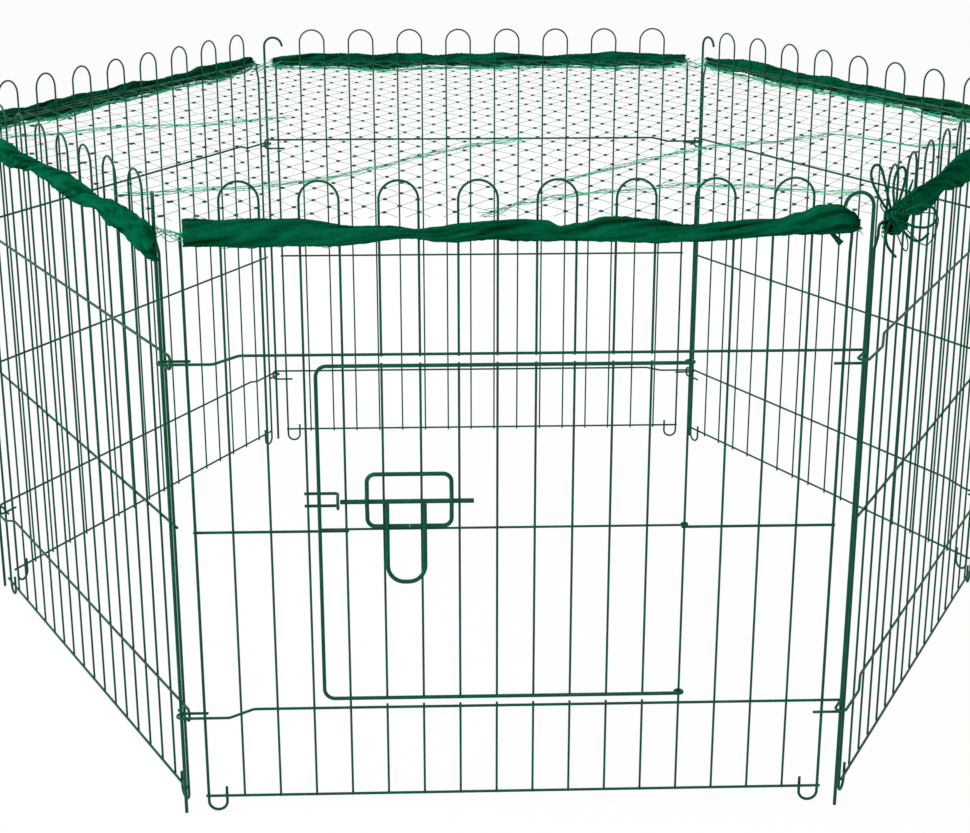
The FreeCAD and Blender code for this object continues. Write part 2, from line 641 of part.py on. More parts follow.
# Tie at the front right corner: a knot outside the hem's end, three bows and two loose ends.
# The routes are points round the knot's middle, across the view, towards the door and up.
BEND_SHARE = 0.45
knot_radius = size("tie_knot") / 2
cord_radius = size("tie_cord") / 2
tied_end = TIED_HEM_SHARES[0]
knot_y = hem_face - size("hem_depth") * tied_end[2] - size("hem_play") - knot_radius
knot_z = top_z + size("hem_height") * tied_end[3]
tie_place = panel_placement(1).multVec(Vector(size("hem_left_end"), knot_y, knot_z))
TIE_BOWS = [
    [
        (-3, -2, 3), (-9, -4, 10), (-15, -5, 20), (-20, -5, 30), (-21, -4, 38), (-17.5, -3.5, 43.5),
        (-12.5, -3, 41), (-10, -3, 33), (-7, -3, 22), (-4, -2, 12), (-1.5, -1, 4),
    ],
    [
        (1, -3, 4), (-1, -6, 13), (-3, -8, 23), (-2.5, -8, 33), (0, -7, 40), (4.5, -6, 42),
        (7.5, -5, 37), (7, -4, 28), (5, -3, 18), (3.5, -2, 9.5), (2, -1, 4),
    ],
    [
        (4, -2, 2), (13, -6, 8), (23, -8, 11.5), (32, -8, 8), (35, -8, -1), (29, -7, -8), (19, -5, -8.5),
        (11, -3, -5.5), (4, -1, -2),
    ],
]
TIE_ENDS = [
    [(-2, -3, -3), (-5.5, -6, -9), (-6.5, -8, -18), (-3, -9, -26), (3, -8.5, -32)],
    [(2, -3, -4), (8, -7, -11), (15, -9.5, -18), (23, -9.5, -19), (28.5, -8, -12)],
]


def tie_cord(name, route):
    """Limp cord through hand-set points, each bend as wide as its two runs allow."""
    points = [Vector(*point) for point in route]
    bends = []
    for before, corner, after in zip(points, points[1:], points[2:]):
        back, ahead = before - corner, after - corner
        turn = math.pi - back.getAngle(ahead)
        bends.append(BEND_SHARE * min(back.Length, ahead.Length) / math.tan(turn / 2))
    print(name, "radii", ["%.1f" % radius for radius in bends])
    cord = wire_along(points, bends, cord_radius)
    length = bent_path(points, bends).Length
    print(name, "length %.1f" % length, "volume share", cord.Volume / (math.pi * cord_radius ** 2 * length))
    return cord


here = Placement(tie_place, Rotation())
knot = doc.addObject("Part::Sphere", "tie_knot")
knot.setExpression("Radius", "Sizes.tie_knot / 2")
keep(knot, here)
feature("tie_bows", Part.makeCompound([tie_cord("bow", route) for route in TIE_BOWS]), here)
feature("tie_ends", Part.makeCompound([tie_cord("end", route) for route in TIE_ENDS]), here)

# Check every object before anything is written
doc.recompute()
for item in doc.Objects:
    if "Invalid" in item.State or "Error" in item.State:
        raise RuntimeError("failed object: " + item.Name)
for piece in nodes:
    if piece.Shape.isNull() or not piece.Shape.isValid():
        raise RuntimeError("bad shape: " + piece.Label)
os.makedirs("parts", exist_ok=True)
for piece in nodes:
    piece.Shape.exportStep("parts/%s.step" % piece.Label)
print("nodes", len(nodes), "solids", sum(len(piece.Shape.Solids) for piece in nodes))
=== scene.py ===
"""Pet run: finishes of the coated wire, the gathered cloth hems, the knotted net and its tie."""
import json
import math

import bmesh
import bpy
from mathutils import Matrix, Vector, noise

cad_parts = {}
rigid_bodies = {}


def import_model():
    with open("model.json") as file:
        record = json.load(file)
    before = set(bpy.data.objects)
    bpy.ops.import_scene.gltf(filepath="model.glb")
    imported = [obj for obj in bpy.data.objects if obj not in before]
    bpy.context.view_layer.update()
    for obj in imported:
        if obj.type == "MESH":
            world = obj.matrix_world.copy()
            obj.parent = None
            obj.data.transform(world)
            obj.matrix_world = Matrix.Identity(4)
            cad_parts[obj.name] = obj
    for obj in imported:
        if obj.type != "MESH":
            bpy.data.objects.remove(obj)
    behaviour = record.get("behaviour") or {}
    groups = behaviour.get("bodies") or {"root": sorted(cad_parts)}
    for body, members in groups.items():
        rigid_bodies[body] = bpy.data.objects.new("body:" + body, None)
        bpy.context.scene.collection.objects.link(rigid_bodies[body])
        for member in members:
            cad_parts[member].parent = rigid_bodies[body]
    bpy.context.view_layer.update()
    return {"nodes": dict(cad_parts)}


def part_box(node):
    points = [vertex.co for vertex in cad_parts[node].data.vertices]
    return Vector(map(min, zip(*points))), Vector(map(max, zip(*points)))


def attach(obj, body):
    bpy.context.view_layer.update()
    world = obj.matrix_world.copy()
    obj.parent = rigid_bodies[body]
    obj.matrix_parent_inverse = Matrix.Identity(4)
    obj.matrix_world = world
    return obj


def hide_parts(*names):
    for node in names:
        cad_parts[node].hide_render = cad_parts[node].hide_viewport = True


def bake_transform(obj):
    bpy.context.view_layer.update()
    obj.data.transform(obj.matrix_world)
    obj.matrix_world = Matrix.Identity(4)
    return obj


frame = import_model()

bl_info = {
    "name": "Pet run",
    "version": (1, 0, 0),
    "blender": (4, 5, 0),
    "location": "3D View > Sidebar > Pet run",
    "description": "Dresses a folding wire pet run with its net cover, hems and tie",
    "category": "Object",
}

# The ring of panels, seen from the door side, and how each is turned from the door panel, in degrees
PANELS = ("front", "front_right", "back_right", "back", "back_left", "front_left")
SLANT = 62
HEADINGS = dict(zip(PANELS, (0, SLANT, 180 - SLANT, 180, 180 + SLANT, 360 - SLANT)))

# Along the sleeve, height share, depth share, sag share and twist in degrees
FRONT_HEM_SHARES = (
    (0.00, 0.96, 0.45, 0.02, 0), (0.04, 1.00, 0.55, 0.02, 0), (0.10, 1.04, 0.70, 0.00, 4),
    (0.16, 1.02, 0.65, 0.02, -4), (0.21, 0.90, 0.75, 0.02, 8), (0.26, 0.68, 0.78, -0.02, 20),
    (0.30, 0.54, 0.74, -0.02, 34), (0.34, 0.40, 0.66, -0.04, 40), (0.37, 0.50, 0.70, 0.00, 20),
    (0.41, 0.66, 0.74, 0.06, 4), (0.46, 0.70, 0.80, 0.08, 0), (0.50, 0.84, 0.98, 0.06, -10),
    (0.53, 0.80, 1.00, 0.02, -14), (0.552, 0.44, 0.72, -0.10, 0), (0.58, 0.60, 0.76, -0.06, 10),
    (0.62, 0.84, 0.80, 0.02, 6), (0.69, 0.82, 0.78, 0.04, -6), (0.74, 0.62, 0.74, 0.00, 0),
    (0.80, 0.64, 0.72, 0.04, 8), (0.87, 0.56, 0.70, 0.10, 4), (0.905, 0.74, 0.80, 0.24, 0),
    (0.935, 1.00, 1.00, 0.40, 6), (0.965, 1.00, 1.00, 0.42, 10), (0.985, 0.78, 0.88, 0.34, 14),
    (1.00, 0.30, 0.44, 0.24, 20),
)
FRONT_LEFT_HEM_SHARES = (
    (0.00, 0.40, 0.50, 0.00, 0), (0.05, 0.62, 0.70, 0.00, 10), (0.15, 0.84, 0.80, 0.02, 0),
    (0.28, 1.04, 0.84, -0.02, -12), (0.36, 0.86, 0.94, 0.00, -28), (0.42, 0.58, 0.90, 0.06, -40),
    (0.50, 0.80, 0.80, 0.02, -10), (0.60, 1.08, 0.78, -0.04, 8), (0.70, 0.92, 0.90, -0.04, 26),
    (0.76, 0.64, 0.94, -0.02, 36), (0.83, 0.96, 0.90, -0.08, 10),
    (0.90, 1.14, 0.90, -0.14, -8), (0.96, 1.34, 0.80, -0.26, -14), (0.985, 1.20, 0.40, -0.32, -12),
    (1.00, 1.00, 0.16, -0.36, -10),
)
FRONT_RIGHT_HEM_SHARES = (
    (0.00, 0.60, 1.10, -0.12, 30), (0.02, 1.05, 1.70, -0.06, 20), (0.05, 1.26, 1.80, 0.04, 0),
    (0.09, 0.98, 1.30, 0.10, -24), (0.13, 0.78, 1.05, 0.10, -34), (0.19, 1.06, 1.00, 0.04, -4),
    (0.27, 1.00, 0.95, 0.00, 14), (0.36, 0.80, 0.90, 0.04, 30), (0.43, 1.14, 1.05, 0.00, 8),
    (0.51, 1.42, 1.20, -0.06, -6), (0.57, 1.30, 1.10, -0.04, -20), (0.62, 0.74, 0.95, 0.04, -36),
    (0.70, 0.96, 0.94, 0.02, -8), (0.80, 1.04, 0.80, -0.02, 10), (0.88, 0.70, 0.80, 0.04, 26),
    (0.94, 0.86, 0.76, 0.00, 4), (1.00, 0.46, 0.50, 0.02, 0),
)
FAR_HEM_SHARES = (
    (0.00, 0.44, 0.50, 0.02, 0), (0.05, 0.70, 0.80, 0.00, 10), (0.16, 0.86, 0.72, 0.03, -8),
    (0.30, 0.60, 0.86, -0.03, 22), (0.44, 0.78, 0.74, 0.02, 0), (0.58, 0.66, 0.90, 0.00, -18),
    (0.72, 0.88, 0.74, -0.02, 6), (0.86, 0.70, 0.86, 0.03, 16), (0.96, 0.64, 0.66, 0.00, 0),
    (1.00, 0.40, 0.44, 0.02, -6),
)
# How a hem's folds run, and a far hem's: how often along it, how often round it, and their turns along it
FOLD_RUNS = {"front": (9.0, 0.9, 1.6), "front_left": (7.0, 0.85, 2.4), "front_right": (6.5, 0.9, -1.7)}
FAR_FOLD_RUN = (13.0, 0.9, 2.2)
# How uneven a hem's height is along it, and a far hem's
UNEVEN_HEMS = {"front": 0.1, "front_left": 0.28, "front_right": 0.2}
FAR_UNEVEN = 0.26
# How far a hem's right end hangs on past its sleeve's place, in metres
LOOSE_ENDS = {"front_left": 0.031}
# How much more a hem is crumpled towards its left and its right end
CRUMPLED_ENDS = {"front_left": (0.0, 1.0), "front_right": (0.8, 0.0)}
# How far the cut ends of a hem, and of the others, are frayed, left and right, in metres
FRAYED_ENDS = {"front": (0.0015, 0.004), "front_left": (0.005, 0.011)}
OTHER_FRAY = (0.006, 0.006)
HEM_SHARES = {
    "front": FRONT_HEM_SHARES,
    "front_right": FRONT_RIGHT_HEM_SHARES,
    "front_left": FRONT_LEFT_HEM_SHARES,
}
# Steps of the hem's cloth along its sleeve and round it
HEM_STEPS = (300, 40)
# Share of the strip that laps over where the sleeve closes
HEM_LAP = 0.06
# How round the sleeve is, from a box at 0 to an ellipse at 1
HEM_ROUNDNESS = 0.8
# Shares of the hem's length that are crumpled, frayed, darkened and loose at its ends
CRUMPLED_REACH = 0.3
FRAYED_REACH = 0.03
DARK_REACH = 0.05
LOOSE_REACH = 0.1
# Heights of the broad folds, the long ridges and the fine ridges of the cloth
FOLD_HEIGHTS = (0.8, 0.8, 0.26)
# Share of the way round the sleeve at which its seam lies, and half the seam's width
SEAM_PLACE = 0.75
SEAM_WIDTH = 0.014

# Routes of the tie about the middle of its knot, in metres
TIE_ROUTES = {
    "tie_bow_left": (
        (-0.003, -0.002, 0.003), (-0.009, -0.004, 0.010), (-0.015, -0.005, 0.020), (-0.020, -0.005, 0.030),
        (-0.021, -0.004, 0.038), (-0.0175, -0.0035, 0.0435), (-0.0125, -0.003, 0.041),
        (-0.010, -0.003, 0.033), (-0.007, -0.003, 0.022), (-0.004, -0.002, 0.012), (-0.0015, -0.001, 0.004),
    ),
    "tie_bow_upright": (
        (0.001, -0.003, 0.004), (-0.001, -0.006, 0.013), (-0.003, -0.008, 0.023), (-0.0025, -0.008, 0.033),
        (0.000, -0.007, 0.040), (0.0045, -0.006, 0.042), (0.0075, -0.005, 0.037), (0.007, -0.004, 0.028),
        (0.005, -0.003, 0.018), (0.0035, -0.002, 0.0095), (0.002, -0.001, 0.004),
    ),
    "tie_bow_right": (
        (0.004, -0.002, 0.002), (0.013, -0.006, 0.008), (0.023, -0.008, 0.0115), (0.032, -0.008, 0.008),
        (0.035, -0.008, -0.001), (0.029, -0.007, -0.008), (0.019, -0.005, -0.0085), (0.011, -0.003, -0.0055),
        (0.004, -0.001, -0.002),
    ),
    "tie_end_left": (
        (-0.002, -0.003, -0.003), (-0.0055, -0.006, -0.009), (-0.0065, -0.008, -0.018),
        (-0.003, -0.009, -0.026), (0.003, -0.0085, -0.032),
    ),
    "tie_end_right": (
        (0.002, -0.003, -0.004), (0.008, -0.007, -0.011), (0.015, -0.0095, -0.018), (0.023, -0.0095, -0.019),
        (0.0285, -0.008, -0.012),
    ),
}
# Where threads of the net are drawn together to loose bundles, in metres
NET_BUNDLES = (
    ((-0.335, -0.400), (-0.215, -0.365), (-0.147, -0.319), (-0.085, -0.225), (-0.031, -0.158),
     (0.030, -0.118)),
    ((0.042, -0.352), (0.123, -0.257), (0.190, -0.182), (0.285, -0.141), (0.333, -0.103), (0.395, -0.172),
     (0.455, -0.178)),
    ((-0.500, -0.090), (-0.450, -0.075), (-0.379, -0.024), (-0.340, -0.032), (-0.279, -0.003),
     (-0.208, 0.033)),
    ((-0.030, -0.495), (0.020, -0.432), (0.090, -0.397), (0.154, -0.374), (0.213, -0.384), (0.308, -0.432)),
)
# Lines at which the net is parted, as distances from the middle of the run, in metres
MIDDLE_FIELD = 0.12
FRONT_CORNER = 0.285
SIDE_FIELD = 0.36
STRIP = 0.02
SIDE_STRIP = 0.03
OUTSIDE = 1.0
# Where the net turns from one panel to the next
LEFT_TURN = ((-0.185, 0.0, 0.0), (-0.385, 0.0, 0.0))
RIGHT_TURN = ((0.185, 0.0, 0.0), (0.385, 0.0, 0.0))
SIDE_TURN = ((0.0, SIDE_STRIP, 0.0), (0.0, -SIDE_STRIP, 0.0))
# Parts of the net: fields with their reach in x and in y,
# and the panel that carries them, or two panels and the turn from one to the other
NET_PARTS = {
    "back_middle": ((((-MIDDLE_FIELD, MIDDLE_FIELD), (0.0, OUTSIDE)),
                     ((-SIDE_FIELD, -MIDDLE_FIELD), (-STRIP, STRIP)),
                     ((MIDDLE_FIELD, SIDE_FIELD), (-STRIP, STRIP))),
                    ("back_panel",)),
    "back_left": ((((-SIDE_FIELD, -MIDDLE_FIELD), (STRIP, OUTSIDE)),
                   ((-OUTSIDE, -SIDE_FIELD), (SIDE_STRIP, OUTSIDE))),
                  ("back_panel", "back_left_panel", *LEFT_TURN)),
    "back_right": ((((MIDDLE_FIELD, SIDE_FIELD), (STRIP, OUTSIDE)),
                    ((SIDE_FIELD, OUTSIDE), (SIDE_STRIP, OUTSIDE))),
                   ("back_panel", "back_right_panel", *RIGHT_TURN)),
    "left": ((((-OUTSIDE, -SIDE_FIELD), (-SIDE_STRIP, SIDE_STRIP)),),
             ("back_left_panel", "front_left_panel", *SIDE_TURN)),
    "right": ((((SIDE_FIELD, OUTSIDE), (-SIDE_STRIP, SIDE_STRIP)),),
              ("back_right_panel", "front_right_panel", *SIDE_TURN)),
    "front_middle": ((((-MIDDLE_FIELD, MIDDLE_FIELD), (-OUTSIDE, 0.0)),
                      ((MIDDLE_FIELD, FRONT_CORNER), (-OUTSIDE, -STRIP))),
                     ("front_panel",)),
    "front_left": ((((-SIDE_FIELD, -MIDDLE_FIELD), (-OUTSIDE, -STRIP)),
                    ((-OUTSIDE, -SIDE_FIELD), (-OUTSIDE, -SIDE_STRIP))),
                   ("front_panel", "front_left_panel", *LEFT_TURN)),
    "front_right": ((((FRONT_CORNER, SIDE_FIELD), (-OUTSIDE, -STRIP)),
                     ((SIDE_FIELD, OUTSIDE), (-OUTSIDE, -SIDE_STRIP))),
                    ("front_right_panel",)),
}
# Short loops of thread that are caught in the knot, about its middle, in metres
CAUGHT_LOOPS = (
    ((0.003, -0.004, 0.003), (0.007, -0.006, 0.014), (0.011, -0.007, 0.026), (0.0135, -0.006, 0.033),
     (0.012, -0.005, 0.024), (0.009, -0.004, 0.013), (0.004, -0.003, 0.003)),
    ((0.004, -0.004, -0.003), (0.014, -0.009, -0.013), (0.023, -0.011, -0.022), (0.029, -0.011, -0.021),
     (0.034, -0.010, -0.010), (0.036, -0.009, 0.002), (0.027, -0.008, 0.005), (0.014, -0.006, 0.003),
     (0.004, -0.003, 0.001)),
    ((-0.001, -0.004, -0.004), (0.003, -0.008, -0.013), (0.007, -0.010, -0.024), (0.0115, -0.010, -0.028),
     (0.012, -0.009, -0.019), (0.008, -0.006, -0.009), (0.003, -0.003, -0.003)),
    ((-0.004, -0.003, 0.001), (-0.010, -0.007, 0.006), (-0.013, -0.008, 0.012), (-0.009, -0.007, 0.016),
     (-0.004, -0.005, 0.012), (-0.001, -0.003, 0.004)),
)
# Turns of cord round the knot, about its middle, in metres
KNOT_WRAPS = (
    (-0.0055, -0.002, -0.002), (-0.003, -0.005, 0.003), (0.002, -0.005, 0.0045), (0.005, -0.001, 0.002),
    (0.004, 0.0035, -0.001), (-0.001, 0.0045, -0.003), (-0.005, 0.002, -0.001), (-0.004, -0.003, 0.003),
    (0.000, -0.0055, 0.000), (0.004, -0.003, -0.004), (0.004, 0.003, -0.003), (0.000, 0.0045, 0.002),
    (-0.004, 0.003, 0.004), (-0.0055, -0.001, 0.001),
)
# Threads gathered along a near and a far hem, how many of them stray, and how far they lie below the hem's
# middle, as shares of its height
NEAR_STRANDS = 7
FAR_STRANDS = 12
STRAY_STRANDS = 2
NEAR_DROP = 0.36
FAR_DROP = 0.58
STRAND_STEPS = 44
# Threads that fray at the ends of a hem, and how far each of their steps goes at the left and the right end
FRAYED_STRANDS = 12
FRAYED_STRETCH = (0.0035, 0.0012)
# Threads that cross a corner, their steps, and how far in from the hems' ends and from the bars they start
CORNER_STRANDS = 7
CORNER_STEPS = 6
CORNER_START = 0.016
CORNER_INSET = 0.004
# Threads of a loose bundle, their steps from point to point and how far they spread, in metres
BUNDLE_STRANDS = 6
BUNDLE_STEPS = 6
BUNDLE_SPREAD = (0.010, 0.030, 0.002)
# How far the net's points drift in its plane and up or down, and how far it goes under the hems, in metres
NET_DRIFT = 0.0035
NET_SAG = 0.0014
NET_TUCK = 0.001

WHITE = (1.0, 1.0, 1.0, 1.0)
# Lamps of the stage: place, size and power, and what they are aimed at
LAMPS = {
    "key_light": ((-2.7, -1.2, 2.2), 1.8, 85.0),
    "fill_light": ((0.3, -2.9, 2.4), 2.4, 30.0),
    "back_light": ((0.3, 2.4, 2.6), 2.4, 40.0),
}
LAMP_AIM = Vector((0.0, 0.0, 0.3))
CAMERA_PLACE = (-0.07973, -1.9754, 0.85287)
CAMERA_TURN = (math.pi / 2 - 0.32, 0.0, -0.0346)
CAMERA_LENS = 69.76


class RunSizes(bpy.types.PropertyGroup):
    """Sizes of the dressed pieces"""

    side: bpy.props.FloatProperty(
        name="Side", description="From one corner pivot to the next", default=0.57, unit="LENGTH")
    slant: bpy.props.FloatProperty(
        name="Slant", description="Turn from the door panel to the next one", default=math.radians(SLANT),
        subtype="ANGLE")
    post_start: bpy.props.FloatProperty(
        name="Post start", description="From a corner pivot to the panel's left post", default=0.013,
        unit="LENGTH")
    hem_start: bpy.props.FloatProperty(
        name="Hem start", description="From the left post to the hem's end", default=0.003, unit="LENGTH")
    hem_length: bpy.props.FloatProperty(
        name="Hem length", description="Length of a hem as it hangs", default=0.5439, unit="LENGTH")
    hem_face: bpy.props.FloatProperty(
        name="Hem face", description="From the pivot line out to the hem's inner face", default=0.0016,
        unit="LENGTH")
    hem_height: bpy.props.FloatProperty(
        name="Hem height", description="Height of the hem where it is widest", default=0.022, unit="LENGTH")
    hem_depth: bpy.props.FloatProperty(
        name="Hem depth", description="Depth of the hem where it is puffed", default=0.0085, unit="LENGTH")
    hem_cloth: bpy.props.FloatProperty(
        name="Hem cloth", description="Thickness of the hem's cloth", default=0.0004, unit="LENGTH")
    hem_level: bpy.props.FloatProperty(
        name="Hem level", description="Height of the hem's middle above the floor", default=0.521,
        unit="LENGTH")
    fold_depth: bpy.props.FloatProperty(
        name="Fold depth", description="Depth of the hem's creases", default=0.0034, unit="LENGTH")
    net_level: bpy.props.FloatProperty(
        name="Net level", description="Height of the net above the floor", default=0.5266, unit="LENGTH")
    net_slope: bpy.props.FloatProperty(
        name="Net slope", description="Rise of the net towards the door for each metre", default=0.012)
    knot_gap: bpy.props.FloatProperty(
        name="Knot gap", description="From knot to knot along a row", default=0.0295, unit="LENGTH")
    row_gap: bpy.props.FloatProperty(
        name="Row gap", description="From one row of knots to the next", default=0.027, unit="LENGTH")
    thread_width: bpy.props.FloatProperty(
        name="Thread width", description="Diameter of a net thread", default=0.0004, unit="LENGTH")
    bundle_width: bpy.props.FloatProperty(
        name="Bundle width", description="Diameter of a thread in a loose bundle", default=0.00052,
        unit="LENGTH")
    gathered_width: bpy.props.FloatProperty(
        name="Gathered width", description="Diameter of a thread that is gathered at a hem", default=0.0007,
        unit="LENGTH")
    knot_length: bpy.props.FloatProperty(
        name="Knot length", description="Length of a net knot", default=0.0046, unit="LENGTH")
    knot_width: bpy.props.FloatProperty(
        name="Knot width", description="Width of a net knot", default=0.0021, unit="LENGTH")
    cord_width: bpy.props.FloatProperty(
        name="Cord width", description="Diameter of the tie's cord", default=0.0022, unit="LENGTH")


class RunColours(bpy.types.PropertyGroup):
    """Colours of the dressed pieces"""

    wire: bpy.props.FloatVectorProperty(
        name="Wire", description="Coating of the wire", default=(0.0005, 0.068, 0.031),
        subtype="COLOR", size=3)
    wire_worn: bpy.props.FloatVectorProperty(
        name="Worn wire", description="Coating where it is thin or rubbed", default=(0.004, 0.13, 0.066),
        subtype="COLOR", size=3)
    # Dark end of the hem's colour ramp: the cloth's own green, pushed darker where the hollows of its folds
    # take painted shade
    hem: bpy.props.FloatVectorProperty(
        name="Hem", description="Cloth of the hems", default=(0.0004, 0.034, 0.013), subtype="COLOR", size=3)
    # Light end of the hem's colour ramp: painted highlight on the crests of the folds, plus the paler random
    # tone of the cloth
    hem_highlight_and_tone: bpy.props.FloatVectorProperty(
        name="Light hem", description="Cloth of the hems along its folds", default=(0.0015, 0.11, 0.047),
        subtype="COLOR", size=3)
    thread: bpy.props.FloatVectorProperty(
        name="Thread", description="Threads of the net", default=(0.06, 0.2, 0.13), subtype="COLOR", size=3)
    knot: bpy.props.FloatVectorProperty(
        name="Knot", description="Knots of the net", default=(0.012, 0.04, 0.028), subtype="COLOR", size=3)
    cord: bpy.props.FloatVectorProperty(
        name="Cord", description="Cord of the tie", default=(0.0015, 0.078, 0.035), subtype="COLOR", size=3)
    # Lighter than the net thread as painted light: raised so the gathered threads, corner threads and loose
    # bundles read lit where they lie in shade
    gathered: bpy.props.FloatVectorProperty(
        name="Gathered thread", description="Net threads where they are drawn together",
        default=(0.03, 0.34, 0.18), subtype="COLOR", size=3)
    floor: bpy.props.FloatVectorProperty(
        name="Floor", description="Floor under the run", default=(0.86, 0.86, 0.86), subtype="COLOR", size=3)


def sizes():
    """The sizes that a user may change."""
    return bpy.context.scene.pet_run_sizes


def colours():
    """The colours that a user may change."""
    return bpy.context.scene.pet_run_colours


def see(colour):
    """A colour with its alpha."""
    return (colour[0], colour[1], colour[2], 1.0)


def new_material(name, roughness):
    """A material with its shader, its nodes and its links."""
    made = bpy.data.materials.new(name)
    made.use_nodes = True
    shader = made.node_tree.nodes["Principled BSDF"]
    shader.inputs["Roughness"].default_value = roughness
    return made, shader, made.node_tree.nodes, made.node_tree.links


def ramp(nodes, low, high, start, end):
    """A colour ramp from one colour to another."""
    made = nodes.new("ShaderNodeValToRGB")
    made.color_ramp.elements[0].position = start
    made.color_ramp.elements[0].color = see(low)
    made.color_ramp.elements[1].position = end
    made.color_ramp.elements[1].color = see(high)
    return made


def speckle(nodes, links, place, scale, detail, distortion=0.0):
    """A noise texture at a place."""
    made = nodes.new("ShaderNodeTexNoise")
    made.inputs["Scale"].default_value = scale
    made.inputs["Detail"].default_value = detail
    made.inputs["Distortion"].default_value = distortion
    links.new(place, made.inputs["Vector"])
    return made.outputs["Fac"]


def bump_into(nodes, links, height, shader, strength, distance):
    """Bump from a height into a shader."""
    bump = nodes.new("ShaderNodeBump")
    bump.inputs["Strength"].default_value = strength
    bump.inputs["Distance"].default_value = distance
    links.new(height, bump.inputs["Height"])
    links.new(bump.outputs["Normal"], shader.inputs["Normal"])


def rough_from(nodes, links, source, shader, low, high):
    """Roughness that varies between two values with a source."""
    spread = nodes.new("ShaderNodeMapRange")
    spread.inputs["To Min"].default_value = low
    spread.inputs["To Max"].default_value = high
    links.new(source, spread.inputs["Value"])
    links.new(spread.outputs["Result"], shader.inputs["Roughness"])


def wave(nodes, links, place, direction, scale, distortion):
    """A wave texture at a place."""
    made = nodes.new("ShaderNodeTexWave")
    made.bands_direction = direction
    made.inputs["Scale"].default_value = scale
    made.inputs["Distortion"].default_value = distortion
    links.new(place, made.inputs["Vector"])
    return made.outputs["Fac"]


def stretched(nodes, links, place, scale, turn=0.0):
    """A place that is scaled along the cloth and round it, and turned."""
    made = nodes.new("ShaderNodeMapping")
    made.inputs["Scale"].default_value = scale
    made.inputs["Rotation"].default_value = (0.0, 0.0, turn)
    links.new(place, made.inputs["Vector"])
    return made.outputs["Vector"]


def larger(nodes, links, first, second):
    """The larger one of two values."""
    made = nodes.new("ShaderNodeMath")
    made.operation = "MAXIMUM"
    links.new(first, made.inputs[0])
    links.new(second, made.inputs[1])
    return made.outputs["Value"]


def share_added(nodes, links, part, share, base):
    """A share of one value on top of another."""
    made = nodes.new("ShaderNodeMath")
    made.operation = "MULTIPLY_ADD"
    made.inputs[1].default_value = share
    links.new(part, made.inputs[0])
    links.new(base, made.inputs[2])
    return made.outputs["Value"]


def coloured(nodes, links, source, shader, low, high, start, end):
    """Colour that goes from one to another with a source."""
    tint = ramp(nodes, low, high, start, end)
    links.new(source, tint.inputs["Fac"])
    links.new(tint.outputs["Color"], shader.inputs["Base Color"])


def coated_wire_finish():
    """Dark green coating on steel wire: thick and thin places and a faint orange-peel skin."""
    made, shader, nodes, links = new_material("coated_wire", 0.4)
    place = nodes.new("ShaderNodeTexCoord").outputs["Object"]
    broad = speckle(nodes, links, place, 55.0, 3.0)
    skin = speckle(nodes, links, place, 900.0, 2.0)
    coloured(nodes, links, broad, shader, colours().wire, colours().wire_worn, 0.52, 0.86)
    rough_from(nodes, links, broad, shader, 0.3, 0.5)
    shader.inputs["Specular IOR Level"].default_value = 0.1
    bump_into(nodes, links, skin, shader, 0.04, 0.0003)
    return made


def hem_cloth_finish():
    """Thin dull woven cloth, with painted highlight on the crests of its folds and painted shade in their
    hollows.
    """
    made, shader, nodes, links = new_material("hem_cloth", 0.62)
    place = nodes.new("ShaderNodeTexCoord")
    weave_place = stretched(nodes, links, place.outputs["UV"], (780.0, 80.0, 1.0))
    warp = wave(nodes, links, weave_place, "X", 0.33, 0.4)
    weft = wave(nodes, links, weave_place, "Y", 0.33, 0.4)
    weave = larger(nodes, links, warp, weft)
    broad = speckle(nodes, links, place.outputs["Object"], 70.0, 4.0)
    # Mesh attribute that carries the painted light and shade of the folds, the pale seam, and a darker right
    # end
    painted_shading_and_seam = nodes.new("ShaderNodeAttribute")
    painted_shading_and_seam.attribute_name = "painted_shading_and_seam"
    # Random tone of the cloth plus the painted highlight and painted shade of its folds
    drawn = share_added(nodes, links, broad, 0.35, painted_shading_and_seam.outputs["Fac"])
    coloured(nodes, links, drawn, shader, colours().hem, colours().hem_highlight_and_tone, 0.3, 1.1)
    rough_from(nodes, links, broad, shader, 0.5, 0.7)
    shader.inputs["Specular IOR Level"].default_value = 0.0
    crumple_place = stretched(nodes, links, place.outputs["UV"], (42.0, 7.0, 1.0), 0.5)
    crumple = speckle(nodes, links, crumple_place, 1.0, 4.0, 0.6)
    height = share_added(nodes, links, weave, 0.035, crumple)
    bump_into(nodes, links, height, shader, 0.7, 0.004)
    return made


def thread_finish(name, colour, strength):
    """Spun thread: fine fibres across its surface and slightly uneven dye."""
    made, shader, nodes, links = new_material(name, 0.7)
    place = nodes.new("ShaderNodeTexCoord").outputs["Object"]
    fibres = speckle(nodes, links, place, 1600.0, 3.0)
    dye = speckle(nodes, links, place, 18.0, 2.0)
    light = [value * 1.7 for value in colour]
    coloured(nodes, links, dye, shader, colour, light, 0.35, 0.75)
    rough_from(nodes, links, fibres, shader, 0.6, 0.85)
    shader.inputs["Specular IOR Level"].default_value = 0.05
    bump_into(nodes, links, fibres, shader, strength, 0.0002)
    return made


